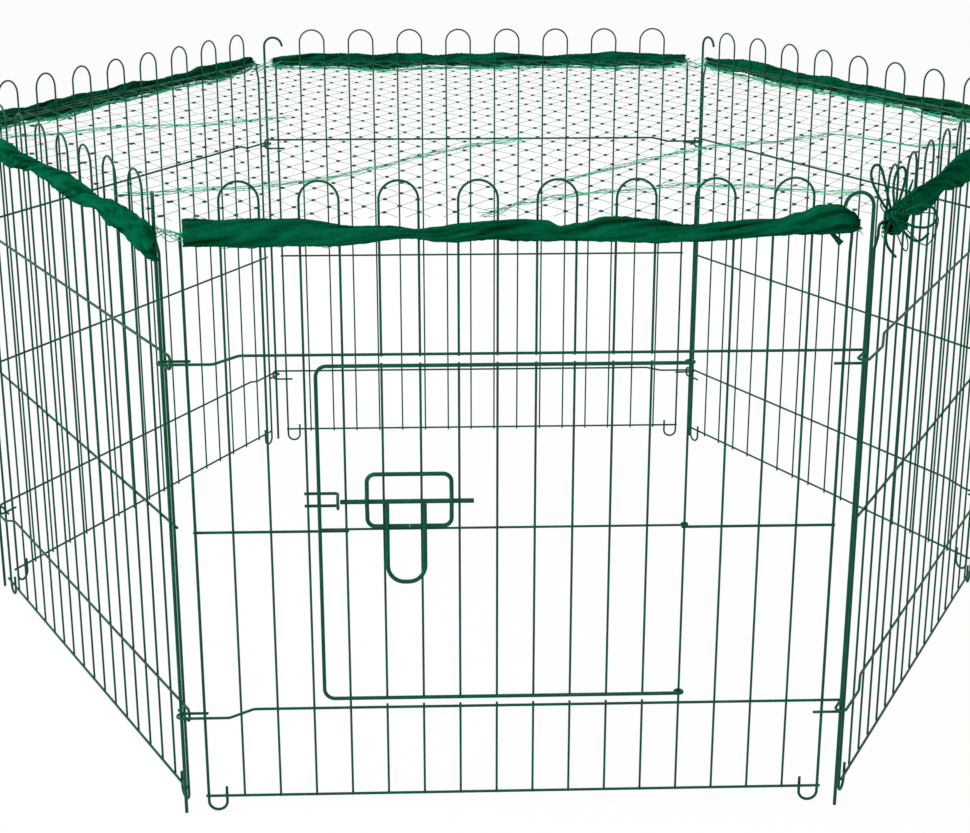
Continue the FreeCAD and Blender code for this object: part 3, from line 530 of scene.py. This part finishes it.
def cord_finish():
    """Soft cord laid from two strands: slanting grooves round it, with painted shade at their bottom and
    painted highlight on the strands between them.
    """
    made, shader, nodes, links = new_material("tie_cord", 0.75)
    place = nodes.new("ShaderNodeTexCoord")
    laid_place = stretched(nodes, links, place.outputs["UV"], (18.0, 0.4 * math.pi, 0.0))
    laid = wave(nodes, links, laid_place, "DIAGONAL", 1.0, 0.3)
    fibres = speckle(nodes, links, place.outputs["Object"], 1400.0, 3.0)
    # Painted highlight on the strands' crests and painted shade at the bottom of the grooves
    light = [value * 1.7 for value in colours().cord]
    painted_groove_shade = [value * 0.45 for value in colours().cord]
    coloured(nodes, links, laid, shader, painted_groove_shade, light, 0.05, 0.9)
    rough_from(nodes, links, fibres, shader, 0.65, 0.85)
    shader.inputs["Specular IOR Level"].default_value = 0.05
    height = share_added(nodes, links, fibres, 0.15, laid)
    bump_into(nodes, links, height, shader, 0.8, 0.0006)
    return made


def finish_named(name, maker, *facts):
    """A finish by its name, made the first time that it is asked for."""
    found = bpy.data.materials.get(name)
    if found is None:
        found = maker(*facts)
    return found


def panel_place(panel):
    """Place of a panel: x along it from its left post, y into the run, z up."""
    corner = Vector((-sizes().side / 2, -sizes().side * math.sin(sizes().slant), 0.0))
    for earlier in PANELS[:PANELS.index(panel)]:
        heading = math.radians(HEADINGS[earlier])
        corner += Vector((math.cos(heading), math.sin(heading), 0.0)) * sizes().side
    turn = Matrix.Rotation(math.radians(HEADINGS[panel]), 4, "Z")
    return Matrix.Translation(corner) @ turn @ Matrix.Translation((sizes().post_start, 0.0, 0.0))


def new_piece(name, mesh, material, slot, *carriers):
    """A finished mesh as a piece that rides on a body, or, given more than one carrier, stays fixed where it
    is.
    """
    if mesh.materials:
        mesh.materials[0] = material
    else:
        mesh.materials.append(material)
    piece = bpy.data.objects.new(name, mesh)
    bpy.context.scene.collection.objects.link(piece)
    if len(carriers) == 1:
        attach(piece, *carriers)
    else:
        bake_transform(piece)
    return piece


def between(table, along):
    """Values of a share table at a place along it, eased from row to row."""
    for first, last in zip(table, table[1:]):
        if along <= last[0]:
            step = (along - first[0]) / (last[0] - first[0])
            step = step * step * (3 - 2 * step)
            return [start + (end - start) * step for start, end in zip(first[1:], last[1:])]
    return list(table[-1][1:])


def ridge(place):
    """Height of a sharp ridge in the cloth, which is highest where the noise passes through nought."""
    return 0.6 - 2.4 * abs(noise.noise(place))


def near(distance, reach):
    """One at a place, falling to nought at the end of its reach."""
    return max(0.0, 1 - distance / reach)


def creases(along, around, seed, run):
    """Height of the cloth's folds, about -1 to 1, which wind along the sleeve."""
    angle = (around + run[2] * along) * 2 * math.pi
    place = Vector((along * run[0], math.cos(angle) * run[1], math.sin(angle) * run[1] + seed))
    long_place = Vector((place.x * 0.8, place.y * 2.0, place.z * 2.0)) + Vector((seed, 3.7, 1.9))
    fine_place = Vector((place.x * 2.2, place.y * 4.6, place.z * 4.6)) + Vector((8.1, seed, 2.3))
    parts = (noise.noise(place), ridge(long_place), ridge(fine_place))
    return sum(share * part for share, part in zip(FOLD_HEIGHTS, parts))


def seam_line(along, around, seed):
    """How much of the hem's pale seam shows at a place, as it comes and goes along the sleeve."""
    shown = 0.4 + 1.3 * noise.noise(Vector((along * 22, seed, 9.0)))
    return max(0.0, shown) * math.exp(-((around - SEAM_PLACE) / SEAM_WIDTH) ** 2)


def hem_tail(sleeve, painted_shading_and_seam):
    """Cut end of the hem's binding, which hangs out under its right end."""
    size = sizes()
    strip = bmesh.ops.create_grid(sleeve, x_segments=10, y_segments=3, size=1.0, calc_uvs=True)
    for vert in strip["verts"]:
        along = (vert.co.x + 1) / 2
        across = vert.co.y
        middle = Vector((0.516 + 0.010 * along + 0.003 * along ** 3, 0.0, 0.001 - 0.012 * along ** 1.6))
        width = Vector((0.0013, 0.0, 0.0013)) * across * (0.8 + 0.7 * along ** 3)
        curl = 0.0012 * math.cos(across * 1.5) + 0.0015 * along
        vert.co = middle + width + Vector((0.0, -size.hem_face - 0.004 - curl, size.hem_level))
        # Painted shading on the tail, lighter towards its free end
        vert[painted_shading_and_seam] = 0.35 + 0.3 * along


def hem_sleeve(panel):
    """Strip of cloth rolled to a sleeve, gathered and twisted along the top wire."""
    size = sizes()
    seed = 7.3 * PANELS.index(panel) + 2.1
    shares = HEM_SHARES.get(panel, FAR_HEM_SHARES)
    run = FOLD_RUNS.get(panel, FAR_FOLD_RUN)
    frayed = FRAYED_ENDS.get(panel, OTHER_FRAY)
    uneven = UNEVEN_HEMS.get(panel, FAR_UNEVEN)
    loose = LOOSE_ENDS.get(panel, 0.0)
    crumpled = CRUMPLED_ENDS.get(panel, (0.0, 0.0))
    sleeve = bmesh.new()
    sleeve.loops.layers.uv.new("cloth")
    # Layer of painted light and shade on the cloth's folds, with its pale seam
    painted_shading_and_seam = sleeve.verts.layers.float.new("painted_shading_and_seam")
    bmesh.ops.create_grid(
        sleeve, x_segments=HEM_STEPS[0], y_segments=HEM_STEPS[1], size=1.0, calc_uvs=True)
    for vert in sleeve.verts:
        along = (vert.co.x + 1) / 2
        around = (vert.co.y + 1) / 2
        high, deep, sag, twist = between(shares, along)
        high *= 1 + uneven * noise.noise(Vector((along * run[0] * 1.3, seed, 0.5)))
        sag += 0.12 * noise.noise(Vector((along * run[0], seed, 6.5)))
        crease = creases(along, around, seed, run)
        loosened = crumpled[0] * near(along, CRUMPLED_REACH) + crumpled[1] * near(1 - along, CRUMPLED_REACH)
        crease += loosened * (0.5 - 2.2 * abs(noise.noise(Vector((along * 34, around * 5, seed)))))
        # Painted highlight on the crests of the creases and painted shade in their hollows, plus the pale
        # seam; darker towards the right end
        vert[painted_shading_and_seam] = 0.5 + 0.55 * crease + 0.5 * seam_line(along, around, seed)
        vert[painted_shading_and_seam] -= 0.5 * near(1 - along, DARK_REACH)
        lift = size.fold_depth * crease
        angle = (around * (1 + HEM_LAP) - HEM_LAP / 2) * 2 * math.pi - math.pi / 2
        rise, spread = math.sin(angle), math.cos(angle)
        up = math.copysign(abs(rise) ** HEM_ROUNDNESS, rise) * (size.hem_height * high / 2 + lift * 0.5)
        out = math.copysign(abs(spread) ** HEM_ROUNDNESS, spread) * (size.hem_depth * deep / 2 + lift)
        turn = math.radians(twist)
        turned_up = up * math.cos(turn) - out * math.sin(turn) * 0.5
        turned_out = out * math.cos(turn) + up * math.sin(turn) * 0.3
        y = -size.hem_face - size.hem_depth * deep / 2 + turned_out
        y = min(y, -size.hem_face)
        tear = noise.noise(Vector((around * 14, seed, 3.0)))
        x = size.hem_start + along * size.hem_length
        x -= frayed[0] * tear * near(along, FRAYED_REACH)
        x += frayed[1] * (tear - 0.7) * near(1 - along, FRAYED_REACH)
        slack = near(1 - along, LOOSE_REACH)
        x += loose * slack
        y -= loose * slack * 0.3
        vert.co = (x, y, size.hem_level + size.hem_height * sag + turned_up)
    if panel == "front":
        hem_tail(sleeve, painted_shading_and_seam)
    bmesh.ops.transform(sleeve, matrix=panel_place(panel), verts=sleeve.verts)
    bmesh.ops.recalc_face_normals(sleeve, faces=sleeve.faces)
    for face in sleeve.faces:
        face.smooth = True
    mesh = bpy.data.meshes.new(panel + "_hem_cloth")
    sleeve.to_mesh(mesh)
    sleeve.free()
    return mesh


def strand_curve(name, routes, width, sides, steps, kind):
    """Curve of round strands along routes."""
    curve = bpy.data.curves.new(name, "CURVE")
    curve.dimensions = "3D"
    curve.bevel_depth = width / 2
    curve.bevel_resolution = sides
    curve.resolution_u = steps
    curve.use_fill_caps = True
    for route in routes:
        strand = curve.splines.new(kind)
        strand.points.add(len(route) - 1)
        for point, place in zip(strand.points, route):
            point.co = (place[0], place[1], place[2], 1.0)
        if kind == "NURBS":
            strand.order_u = 3
            strand.use_endpoint_u = True
    return curve


def curve_piece_mesh(name, routes, width, sides, kind):
    """Mesh of thin round strands along routes."""
    curve = strand_curve(name, routes, width, sides, 4, kind)
    holder = bpy.data.objects.new(name, curve)
    mesh = bpy.data.meshes.new_from_object(holder)
    mesh.name = name
    bpy.data.objects.remove(holder)
    bpy.data.curves.remove(curve)
    for face in mesh.polygons:
        face.use_smooth = True
    return mesh


def edge_strands(panel):
    """Routes of the net threads that are gathered along a hem's inner edge and fray at its ends."""
    place = panel_place(panel)
    size = sizes()
    shares = HEM_SHARES.get(panel, FAR_HEM_SHARES)
    routes = []
    steps = STRAND_STEPS
    far = panel not in HEM_SHARES
    drop = FAR_DROP if far else NEAR_DROP
    for number in range(FAR_STRANDS if far else NEAR_STRANDS):
        seed = 3.1 * number + 11.7 * PANELS.index(panel)
        route = []
        for step in range(steps + 1):
            high, _, sag, _ = between(shares, step / steps)
            x = size.hem_start + 0.004 + (size.hem_length - 0.008) * step / steps
            sway = noise.noise(Vector((step * 0.45, seed, 0.0)))
            lift = noise.noise(Vector((step * 0.61, seed, 5.0)))
            y = -size.hem_face + 0.0006 + 0.0005 * sway
            wide = 0.7 if number < STRAY_STRANDS else 0.26
            z = size.hem_level + size.hem_height * (sag + high * (wide * lift - drop))
            route.append(place @ Vector((x, y, z)))
        routes.append(route)
    for number in range(FRAYED_STRANDS):
        seed = 5.3 * number + 17.9 * PANELS.index(panel)
        at_end = number % 2
        x = size.hem_start + at_end * size.hem_length
        way = 1 if at_end else -1
        stretch = FRAYED_STRETCH[at_end]
        root = Vector((x - way * 0.004, -size.hem_face - 0.002, size.hem_level))
        root.z += 0.007 * noise.noise(Vector((seed, 1.0, 1.0)))
        route = [root]
        for step in range(3):
            wander = Vector((way * stretch, 0.0022 * noise.noise(Vector((seed, step, 2.0))),
                             0.006 * noise.noise(Vector((seed, step, 8.0)))))
            route.append(route[-1] + wander)
        routes.append([place @ point for point in route])
    return routes


def corner_strands(panel, onward):
    """Routes of the net threads that cross a corner from hem to hem, with their start and end."""
    size = sizes()
    last = size.hem_start + size.hem_length - CORNER_START
    start = panel_place(panel) @ Vector((last, CORNER_INSET, size.hem_level))
    end = panel_place(onward) @ Vector((size.hem_start + CORNER_START, CORNER_INSET, size.hem_level))
    routes = []
    for number in range(CORNER_STRANDS):
        route = []
        for step in range(CORNER_STEPS + 1):
            seed = Vector((step * 0.45, number * 2.9, PANELS.index(panel) * 6.1))
            stray = Vector((0.0, 0.0, 0.014 * noise.noise(seed) - 0.004))
            route.append(start.lerp(end, step / CORNER_STEPS) + stray)
        routes.append(route)
    return routes, tuple(start), tuple(end)


def bundle_strands(route):
    """Routes of the threads that are drawn together to a loose bundle across the net."""
    size = sizes()
    routes = []
    for number in range(BUNDLE_STRANDS):
        strand = []
        for first, last in zip(route, route[1:]):
            for step in range(BUNDLE_STEPS):
                along = Vector(first).lerp(Vector(last), step / BUNDLE_STEPS)
                seed = Vector((along.x * 70, along.y * 70, number * 4.7))
                level = size.net_level - size.net_slope * along.y
                strand.append((along.x + BUNDLE_SPREAD[0] * noise.noise(seed),
                               along.y + BUNDLE_SPREAD[1] * noise.noise(seed + Vector((7.0, 0.0, 0.0))),
                               level + BUNDLE_SPREAD[2] * noise.noise(seed + Vector((0.0, 7.0, 0.0)))))
        routes.append(strand)
    return routes


def net_threads():
    """Zigzag threads of the net, cut off along the hems, as edges."""
    size = sizes()
    half = size.knot_gap / 4
    depth = size.side * math.sin(size.slant)
    reach = size.side / 2 + size.side * math.cos(size.slant)
    columns = int(reach / (size.knot_gap / 2)) + 1
    rows = int(depth / size.row_gap) + 1
    net = bmesh.new()
    for column in range(-columns, columns + 1):
        middle = column * size.knot_gap / 2
        side = 1 if column % 2 else -1
        last = None
        for row in range(-rows, rows + 1):
            swing = half * side * (1 if row % 2 else -1)
            drift = NET_DRIFT * noise.noise(Vector((column * 0.9, row * 0.8, 1.0)))
            sag = NET_SAG * noise.noise(Vector((middle * 6, row * 0.3, 4.0)))
            y = row * size.row_gap + drift
            vert = net.verts.new((middle + swing + drift, y, size.net_level + sag - size.net_slope * y))
            if last is not None:
                net.edges.new((last, vert))
            last = vert
    for panel in PANELS:
        place = panel_place(panel)
        edge = place @ Vector((0.0, -size.hem_face - NET_TUCK, 0.0))
        outward = place.to_3x3() @ Vector((0.0, -1.0, 0.0))
        geom = list(net.verts) + list(net.edges)
        bmesh.ops.bisect_plane(net, geom=geom, plane_co=edge, plane_no=outward, clear_outer=True)
    return net


def within(co, reach):
    """Whether a place lies within a reach in x and in y."""
    return all(low <= value < high for value, (low, high) in zip(co, reach))


def chains_within(net, reach):
    """Runs of thread of the part of a net that lies within a reach in x and in y."""
    part = net.copy()
    for axis, limits in enumerate(reach):
        for limit, way in zip(limits, (-1.0, 1.0)):
            place = Vector((0.0, 0.0, 0.0))
            place[axis] = limit
            outward = Vector((0.0, 0.0, 0.0))
            outward[axis] = way
            geom = list(part.verts) + list(part.edges)
            bmesh.ops.bisect_plane(part, geom=geom, plane_co=place, plane_no=outward, clear_outer=True)
    routes = chains(part)
    part.free()
    return routes


def bundle_net():
    """Threads of all the loose bundles, as edges."""
    net = bmesh.new()
    for route in NET_BUNDLES:
        for strand in bundle_strands(route):
            points = [net.verts.new(point) for point in strand]
            for first, last in zip(points, points[1:]):
                net.edges.new((first, last))
    return net


def chains(net):
    """Point lists of the loose threads in a mesh of edges."""
    seen = set()
    found = []
    for vert in net.verts:
        if vert in seen or len(vert.link_edges) != 1:
            continue
        chain = [vert]
        seen.add(vert)
        while True:
            onward = [edge.other_vert(chain[-1]) for edge in chain[-1].link_edges]
            onward = [other for other in onward if other not in seen]
            if not onward:
                break
            chain.append(onward[0])
            seen.add(onward[0])
        found.append([point.co.copy() for point in chain])
    return found


class PETRUN_OT_wire(bpy.types.Operator):
    """Coats every wire piece of the run"""

    bl_idname = "petrun.wire"
    bl_label = "Coated wire"

    def execute(self, context):
        coat = finish_named("coated_wire", coated_wire_finish)
        for name, node in frame["nodes"].items():
            if name.endswith("_hem") or name.startswith("tie_") or name == "net_cover":
                continue
            node.data.materials.clear()
            node.data.materials.append(coat)
        return {"FINISHED"}


class PETRUN_OT_hems(bpy.types.Operator):
    """Gathers a cloth hem along the top wire of every panel"""

    bl_idname = "petrun.hems"
    bl_label = "Cloth hems"

    def execute(self, context):
        cloth = finish_named("hem_cloth", hem_cloth_finish)
        # The gathered and corner threads take the thread that is painted lighter than the net's, as painted
        # light
        strand = finish_named("gathered_thread", thread_finish, "gathered_thread", colours().gathered, 0.3)
        size = sizes()
        for panel in PANELS:
            hem = new_piece(panel + "_hem_cloth", hem_sleeve(panel), cloth, "hem", panel + "_panel")
            wall = hem.modifiers.new("cloth", "SOLIDIFY")
            wall.thickness = size.hem_cloth
            wall.offset = -1.0
            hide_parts(panel + "_hem")
            routes = edge_strands(panel)
            mesh = curve_piece_mesh(panel + "_gathered_threads", routes, size.gathered_width, 1, "NURBS")
            threads = new_piece(mesh.name, mesh, strand, "net", panel + "_panel")
            more = [threads]
            onward = PANELS[PANELS.index(panel) + 1 - len(PANELS)]
            if panel != "front":
                routes, start, end = corner_strands(panel, onward)
                mesh = curve_piece_mesh(panel + "_corner_threads", routes, size.gathered_width, 1, "NURBS")
                more.append(new_piece(
                    mesh.name, mesh, strand, "net", panel + "_panel", onward + "_panel", start, end))
            if panel == "back":
                more += [piece for piece in context.scene.objects if piece.name.startswith("net_")
                         and piece.name != "net_cover"]
        return {"FINISHED"}


class PETRUN_OT_net(bpy.types.Operator):
    """Knots the net over the open top of the run"""

    bl_idname = "petrun.net"
    bl_label = "Net"

    def execute(self, context):
        size = sizes()
        net = net_threads()
        bundles = bundle_net()
        one_knot = self.one_knot()
        thread = finish_named("net_thread", thread_finish, "net_thread", colours().thread, 0.2)
        dark = finish_named("net_knot", thread_finish, "net_knot", colours().knot, 0.4)
        # The loose bundles take the same thread, painted lighter as painted light
        light = finish_named("gathered_thread", thread_finish, "gathered_thread", colours().gathered, 0.3)
        # Two threads meet at each knot, so only every other point of the threads is tied
        tied = [vert.co.copy() for vert in net.verts if len(vert.link_edges) == 2 and vert.index % 2 == 0]
        for part, (fields, carriers) in NET_PARTS.items():
            routes = [route for field in fields for route in chains_within(net, field)]
            mesh = curve_piece_mesh("net_%s_threads" % part, routes, size.thread_width, 1, "POLY")
            threads = new_piece(mesh.name, mesh, thread, "net", *carriers)
            here = [co for co in tied if any(within(co, field) for field in fields)]
            mesh = self.knots(one_knot, "net_%s_knots" % part, here)
            new_piece(mesh.name, mesh, dark, "net", *carriers)
            routes = [route for field in fields for route in chains_within(bundles, field)]
            if routes:
                mesh = curve_piece_mesh("net_%s_bundles" % part, routes, size.bundle_width, 1, "NURBS")
                new_piece(mesh.name, mesh, light, "net", *carriers)
            if part == "back_middle":
                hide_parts("net_cover")
        bpy.data.meshes.remove(one_knot)
        bundles.free()
        net.free()
        return {"FINISHED"}

    def knots(self, one_knot, name, places):
        """Mesh of the net's knots at their places."""
        lumps = bmesh.new()
        for co in places:
            place = Matrix.Translation(co) @ Matrix.Rotation(0.5 * noise.noise(co * 40), 4, "Z")
            one_knot.transform(place)
            lumps.from_mesh(one_knot)
            one_knot.transform(place.inverted())
        for face in lumps.faces:
            face.smooth = True
        mesh = bpy.data.meshes.new(name)
        lumps.to_mesh(mesh)
        lumps.free()
        return mesh

    def one_knot(self):
        """Small lump of a tightened knot, longer along its row."""
        size = sizes()
        lump = bmesh.new()
        shape = Matrix.Diagonal((size.knot_length / 2, size.knot_width / 2, size.knot_width / 2, 1.0))
        bmesh.ops.create_uvsphere(lump, u_segments=6, v_segments=4, radius=1.0, matrix=shape)
        mesh = bpy.data.meshes.new("one_knot")
        lump.to_mesh(mesh)
        lump.free()
        return mesh


class PETRUN_OT_tie(bpy.types.Operator):
    """Ties the cover's cord in a bow at the front right corner"""

    bl_idname = "petrun.tie"
    bl_label = "Tie"

    def execute(self, context):
        low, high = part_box("tie_knot")
        middle = (low + high) / 2
        finish = finish_named("tie_cord", cord_finish)
        wraps = [[middle + Vector(point) for point in KNOT_WRAPS + KNOT_WRAPS[:1]]]
        mesh = curve_piece_mesh("tie_knot_wraps", wraps, sizes().cord_width * 2, 3, "NURBS")
        knot = new_piece("tie_knot_wraps", mesh, finish, "cord", "front_right_panel")
        loops = [[middle + Vector(point) for point in loop] for loop in CAUGHT_LOOPS]
        mesh = curve_piece_mesh("tie_knot_loops", loops, sizes().cord_width / 2, 2, "NURBS")
        caught = new_piece("tie_knot_loops", mesh, finish, "cord", "front_right_panel")
        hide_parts("tie_knot")
        for name, route in TIE_ROUTES.items():
            places = [middle + Vector(place) for place in route]
            line = strand_curve(name, [places], sizes().cord_width, 3, 12, "NURBS")
            line.materials.append(finish)
            cord = bpy.data.objects.new(name, line)
            bpy.context.scene.collection.objects.link(cord)
            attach(cord, "front_right_panel")
        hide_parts("tie_bows")
        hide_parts("tie_ends")
        return {"FINISHED"}


class PETRUN_OT_stage(bpy.types.Operator):
    """Sets the floor, the lights, the white surroundings and the camera"""

    bl_idname = "petrun.stage"
    bl_label = "Stage"

    def execute(self, context):
        scene = context.scene
        ground = bmesh.new()
        bmesh.ops.create_grid(ground, x_segments=1, y_segments=1, size=14.0)
        mesh = bpy.data.meshes.new("floor")
        ground.to_mesh(mesh)
        ground.free()
        mesh.materials.append(self.floor_finish())
        floor = bpy.data.objects.new("floor", mesh)
        scene.collection.objects.link(floor)
        self.surroundings(scene)
        for name, (place, size, power) in LAMPS.items():
            lamp = bpy.data.lights.new(name, "AREA")
            lamp.size = size
            lamp.energy = power
            holder = bpy.data.objects.new(name, lamp)
            holder.location = place
            aim = LAMP_AIM - Vector(place)
            holder.rotation_euler = aim.to_track_quat("-Z", "Y").to_euler()
            scene.collection.objects.link(holder)
        lens = bpy.data.cameras.new("camera")
        lens.sensor_fit = "HORIZONTAL"
        lens.sensor_width = 36.0
        lens.lens = CAMERA_LENS
        camera = bpy.data.objects.new("camera", lens)
        camera.location = CAMERA_PLACE
        camera.rotation_euler = CAMERA_TURN
        scene.collection.objects.link(camera)
        scene.camera = camera
        scene.view_settings.view_transform = "Standard"
        return {"FINISHED"}

    def seen_white(self, nodes, links):
        """One where a ray comes from the camera, a reflection or through glass."""
        path = nodes.new("ShaderNodeLightPath").outputs
        mirrored = larger(nodes, links, path["Is Camera Ray"], path["Is Glossy Ray"])
        return larger(nodes, links, mirrored, path["Is Transmission Ray"])

    def floor_finish(self):
        """Pale floor that shows white to the camera and keeps a soft shadow."""
        made, shader, nodes, links = new_material("pale_floor", 0.9)
        shader.inputs["Base Color"].default_value = see(colours().floor)
        shader.inputs["Specular IOR Level"].default_value = 0.0
        glow = nodes.new("ShaderNodeEmission")
        glow.inputs["Color"].default_value = WHITE
        glow.inputs["Strength"].default_value = 1.0
        mix = nodes.new("ShaderNodeMixShader")
        share = nodes.new("ShaderNodeMath")
        share.operation = "MULTIPLY"
        share.inputs[1].default_value = 0.95
        links.new(self.seen_white(nodes, links), share.inputs[0])
        links.new(share.outputs["Value"], mix.inputs["Fac"])
        links.new(shader.outputs["BSDF"], mix.inputs[1])
        links.new(glow.outputs["Emission"], mix.inputs[2])
        links.new(mix.outputs["Shader"], nodes["Material Output"].inputs["Surface"])
        return made

    def surroundings(self, scene):
        """White to the camera and a plain soft light on the run."""
        world = bpy.data.worlds.new("studio")
        world.use_nodes = True
        scene.world = world
        nodes, links = world.node_tree.nodes, world.node_tree.links
        light = nodes["Background"]
        light.inputs["Color"].default_value = WHITE
        light.inputs["Strength"].default_value = 0.45
        white = nodes.new("ShaderNodeBackground")
        white.inputs["Color"].default_value = WHITE
        white.inputs["Strength"].default_value = 1.0
        mix = nodes.new("ShaderNodeMixShader")
        links.new(self.seen_white(nodes, links), mix.inputs["Fac"])
        links.new(light.outputs["Background"], mix.inputs[1])
        links.new(white.outputs["Background"], mix.inputs[2])
        links.new(mix.outputs["Shader"], nodes["World Output"].inputs["Surface"])


class PETRUN_PT_panel(bpy.types.Panel):
    """Lists the steps that dress the run"""

    bl_idname = "PETRUN_PT_panel"
    bl_label = "Pet run"
    bl_space_type = "VIEW_3D"
    bl_region_type = "UI"
    bl_category = "Pet run"

    def draw(self, context):
        for step in STEPS:
            self.layout.operator(step.bl_idname)


STEPS = (PETRUN_OT_wire, PETRUN_OT_net, PETRUN_OT_hems, PETRUN_OT_tie, PETRUN_OT_stage)
CLASSES = (RunSizes, RunColours) + STEPS + (PETRUN_PT_panel,)


def register():
    """Adds the classes and the run's own settings."""
    for kind in CLASSES:
        bpy.utils.register_class(kind)
    bpy.types.Scene.pet_run_sizes = bpy.props.PointerProperty(type=RunSizes)
    bpy.types.Scene.pet_run_colours = bpy.props.PointerProperty(type=RunColours)


def unregister():
    """Takes the settings and the classes away again."""
    del bpy.types.Scene.pet_run_colours
    del bpy.types.Scene.pet_run_sizes
    for kind in reversed(CLASSES):
        bpy.utils.unregister_class(kind)


def main():
    """Dresses the run."""
    register()
    bpy.ops.petrun.wire()
    bpy.ops.petrun.net()
    bpy.ops.petrun.hems()
    bpy.ops.petrun.tie()
    bpy.ops.petrun.stage()


if __name__ == "__main__":
    main()
